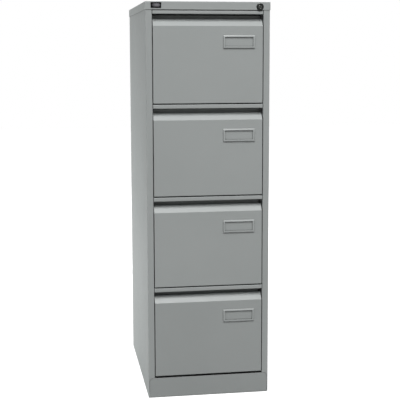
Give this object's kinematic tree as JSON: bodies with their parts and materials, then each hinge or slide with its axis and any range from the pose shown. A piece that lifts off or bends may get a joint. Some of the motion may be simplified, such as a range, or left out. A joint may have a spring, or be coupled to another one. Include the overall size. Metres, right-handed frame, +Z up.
{
  "type": "filing cabinet",
  "caption": "Tall narrow steel filing cabinet: full-extension drawers on ball slides, sloped full-width grips, label holders, and a cam lock whose bar catches every drawer.",
  "frame": {"origin": "on the floor, under the middle of the cabinet", "axes": "+Z up, -Y out of the front where the drawers open, +X to the right seen from the front"},
  "size_m": [0.413, 0.622, 1.321],
  "materials": {
    "grey_paint": "fine satin powder coat, mid grey",
    "zinc_steel": "bright zinc plate",
    "lock_metal": "dark nickel plate",
    "badge_black": "gloss black",
    "foot_plastic": "matt black"
  },
  "bodies": {
    "root": {"side_panel_left": "grey_paint", "side_panel_right": "grey_paint", "back_panel": "grey_paint", "top_cover": "grey_paint", "base_pan": "grey_paint", "plinth": "grey_paint", "front_rail_top": "grey_paint", "front_rail_1": "grey_paint", "front_rail_2": "grey_paint", "front_rail_3": "grey_paint", "slide_post_front_left": "zinc_steel", "slide_post_front_right": "zinc_steel", "slide_post_rear_left": "zinc_steel", "slide_post_rear_right": "zinc_steel", "name_badge": "badge_black", "lock_housing": "lock_metal", "lock_nut": "zinc_steel", "lock_bar_guides": "zinc_steel", "slide_screws": "zinc_steel", "foot_brackets": "grey_paint", "levelling_feet": "foot_plastic", "slide_outer_1": "zinc_steel", "slide_outer_2": "zinc_steel", "slide_outer_3": "zinc_steel", "slide_outer_4": "zinc_steel"},
    "lock_plug": {"lock_plug": "lock_metal", "lock_cam": "zinc_steel"},
    "lock_bar": {"lock_bar": "zinc_steel"},
    "drawer_1": {"drawer_front_1": "grey_paint", "drawer_inner_front_1": "grey_paint", "drawer_tray_1": "grey_paint", "label_holder_1": "grey_paint", "slide_inner_1": "zinc_steel"},
    "slide_middle_1": {"slide_middle_1": "zinc_steel"},
    "ball_cage_outer_1": {"ball_cage_outer_1": "zinc_steel"},
    "ball_cage_inner_1": {"ball_cage_inner_1": "zinc_steel"},
    "drawer_2": {"drawer_front_2": "grey_paint", "drawer_inner_front_2": "grey_paint", "drawer_tray_2": "grey_paint", "label_holder_2": "grey_paint", "slide_inner_2": "zinc_steel"},
    "slide_middle_2": {"slide_middle_2": "zinc_steel"},
    "ball_cage_outer_2": {"ball_cage_outer_2": "zinc_steel"},
    "ball_cage_inner_2": {"ball_cage_inner_2": "zinc_steel"},
    "drawer_3": {"drawer_front_3": "grey_paint", "drawer_inner_front_3": "grey_paint", "drawer_tray_3": "grey_paint", "label_holder_3": "grey_paint", "slide_inner_3": "zinc_steel"},
    "slide_middle_3": {"slide_middle_3": "zinc_steel"},
    "ball_cage_outer_3": {"ball_cage_outer_3": "zinc_steel"},
    "ball_cage_inner_3": {"ball_cage_inner_3": "zinc_steel"},
    "drawer_4": {"drawer_front_4": "grey_paint", "drawer_inner_front_4": "grey_paint", "drawer_tray_4": "grey_paint", "label_holder_4": "grey_paint", "slide_inner_4": "zinc_steel"},
    "slide_middle_4": {"slide_middle_4": "zinc_steel"},
    "ball_cage_outer_4": {"ball_cage_outer_4": "zinc_steel"},
    "ball_cage_inner_4": {"ball_cage_inner_4": "zinc_steel"}
  },
  "joints": [
    {"name": "drawer_1_slide", "type": "slide", "parent": "root", "child": "drawer_1", "axis": [0, -1, 0], "range_m": [0, 0.52]},
    {"name": "slide_middle_1_travel", "type": "slide", "parent": "root", "child": "slide_middle_1", "axis": [0, -1, 0], "range_m": [0, 0.26]},
    {"name": "ball_cage_outer_1_travel", "type": "slide", "parent": "root", "child": "ball_cage_outer_1", "axis": [0, -1, 0], "range_m": [0, 0.13]},
    {"name": "ball_cage_inner_1_travel", "type": "slide", "parent": "root", "child": "ball_cage_inner_1", "axis": [0, -1, 0], "range_m": [0, 0.39]},
    {"name": "drawer_2_slide", "type": "slide", "parent": "root", "child": "drawer_2", "axis": [0, -1, 0], "range_m": [0, 0.52]},
    {"name": "slide_middle_2_travel", "type": "slide", "parent": "root", "child": "slide_middle_2", "axis": [0, -1, 0], "range_m": [0, 0.26]},
    {"name": "ball_cage_outer_2_travel", "type": "slide", "parent": "root", "child": "ball_cage_outer_2", "axis": [0, -1, 0], "range_m": [0, 0.13]},
    {"name": "ball_cage_inner_2_travel", "type": "slide", "parent": "root", "child": "ball_cage_inner_2", "axis": [0, -1, 0], "range_m": [0, 0.39]},
    {"name": "drawer_3_slide", "type": "slide", "parent": "root", "child": "drawer_3", "axis": [0, -1, 0], "range_m": [0, 0.52]},
    {"name": "slide_middle_3_travel", "type": "slide", "parent": "root", "child": "slide_middle_3", "axis": [0, -1, 0], "range_m": [0, 0.26]},
    {"name": "ball_cage_outer_3_travel", "type": "slide", "parent": "root", "child": "ball_cage_outer_3", "axis": [0, -1, 0], "range_m": [0, 0.13]},
    {"name": "ball_cage_inner_3_travel", "type": "slide", "parent": "root", "child": "ball_cage_inner_3", "axis": [0, -1, 0], "range_m": [0, 0.39]},
    {"name": "drawer_4_slide", "type": "slide", "parent": "root", "child": "drawer_4", "axis": [0, -1, 0], "range_m": [0, 0.52]},
    {"name": "slide_middle_4_travel", "type": "slide", "parent": "root", "child": "slide_middle_4", "axis": [0, -1, 0], "range_m": [0, 0.26]},
    {"name": "ball_cage_outer_4_travel", "type": "slide", "parent": "root", "child": "ball_cage_outer_4", "axis": [0, -1, 0], "range_m": [0, 0.13]},
    {"name": "ball_cage_inner_4_travel", "type": "slide", "parent": "root", "child": "ball_cage_inner_4", "axis": [0, -1, 0], "range_m": [0, 0.39]},
    {"name": "lock_turn", "type": "hinge", "parent": "root", "child": "lock_plug", "pos_m": [0.1714, -0.3, 1.3047], "axis": [0, 1, 0], "range_deg": [0, 90]},
    {"name": "lock_bar_travel", "type": "slide", "parent": "root", "child": "lock_bar", "axis": [0, 0, -1], "range_m": [0, 0.012]}
  ],
  "couplings": [
    {"joint": "slide_middle_1_travel", "follows": "drawer_1_slide", "ratio": 0.5},
    {"joint": "ball_cage_outer_1_travel", "follows": "drawer_1_slide", "ratio": 0.25},
    {"joint": "ball_cage_inner_1_travel", "follows": "drawer_1_slide", "ratio": 0.75},
    {"joint": "slide_middle_2_travel", "follows": "drawer_2_slide", "ratio": 0.5},
    {"joint": "ball_cage_outer_2_travel", "follows": "drawer_2_slide", "ratio": 0.25},
    {"joint": "ball_cage_inner_2_travel", "follows": "drawer_2_slide", "ratio": 0.75},
    {"joint": "slide_middle_3_travel", "follows": "drawer_3_slide", "ratio": 0.5},
    {"joint": "ball_cage_outer_3_travel", "follows": "drawer_3_slide", "ratio": 0.25},
    {"joint": "ball_cage_inner_3_travel", "follows": "drawer_3_slide", "ratio": 0.75},
    {"joint": "slide_middle_4_travel", "follows": "drawer_4_slide", "ratio": 0.5},
    {"joint": "ball_cage_outer_4_travel", "follows": "drawer_4_slide", "ratio": 0.25},
    {"joint": "ball_cage_inner_4_travel", "follows": "drawer_4_slide", "ratio": 0.75},
    {"joint": "lock_turn", "follows": "lock_bar_travel", "rad_per_m": 130.9}
  ]
}
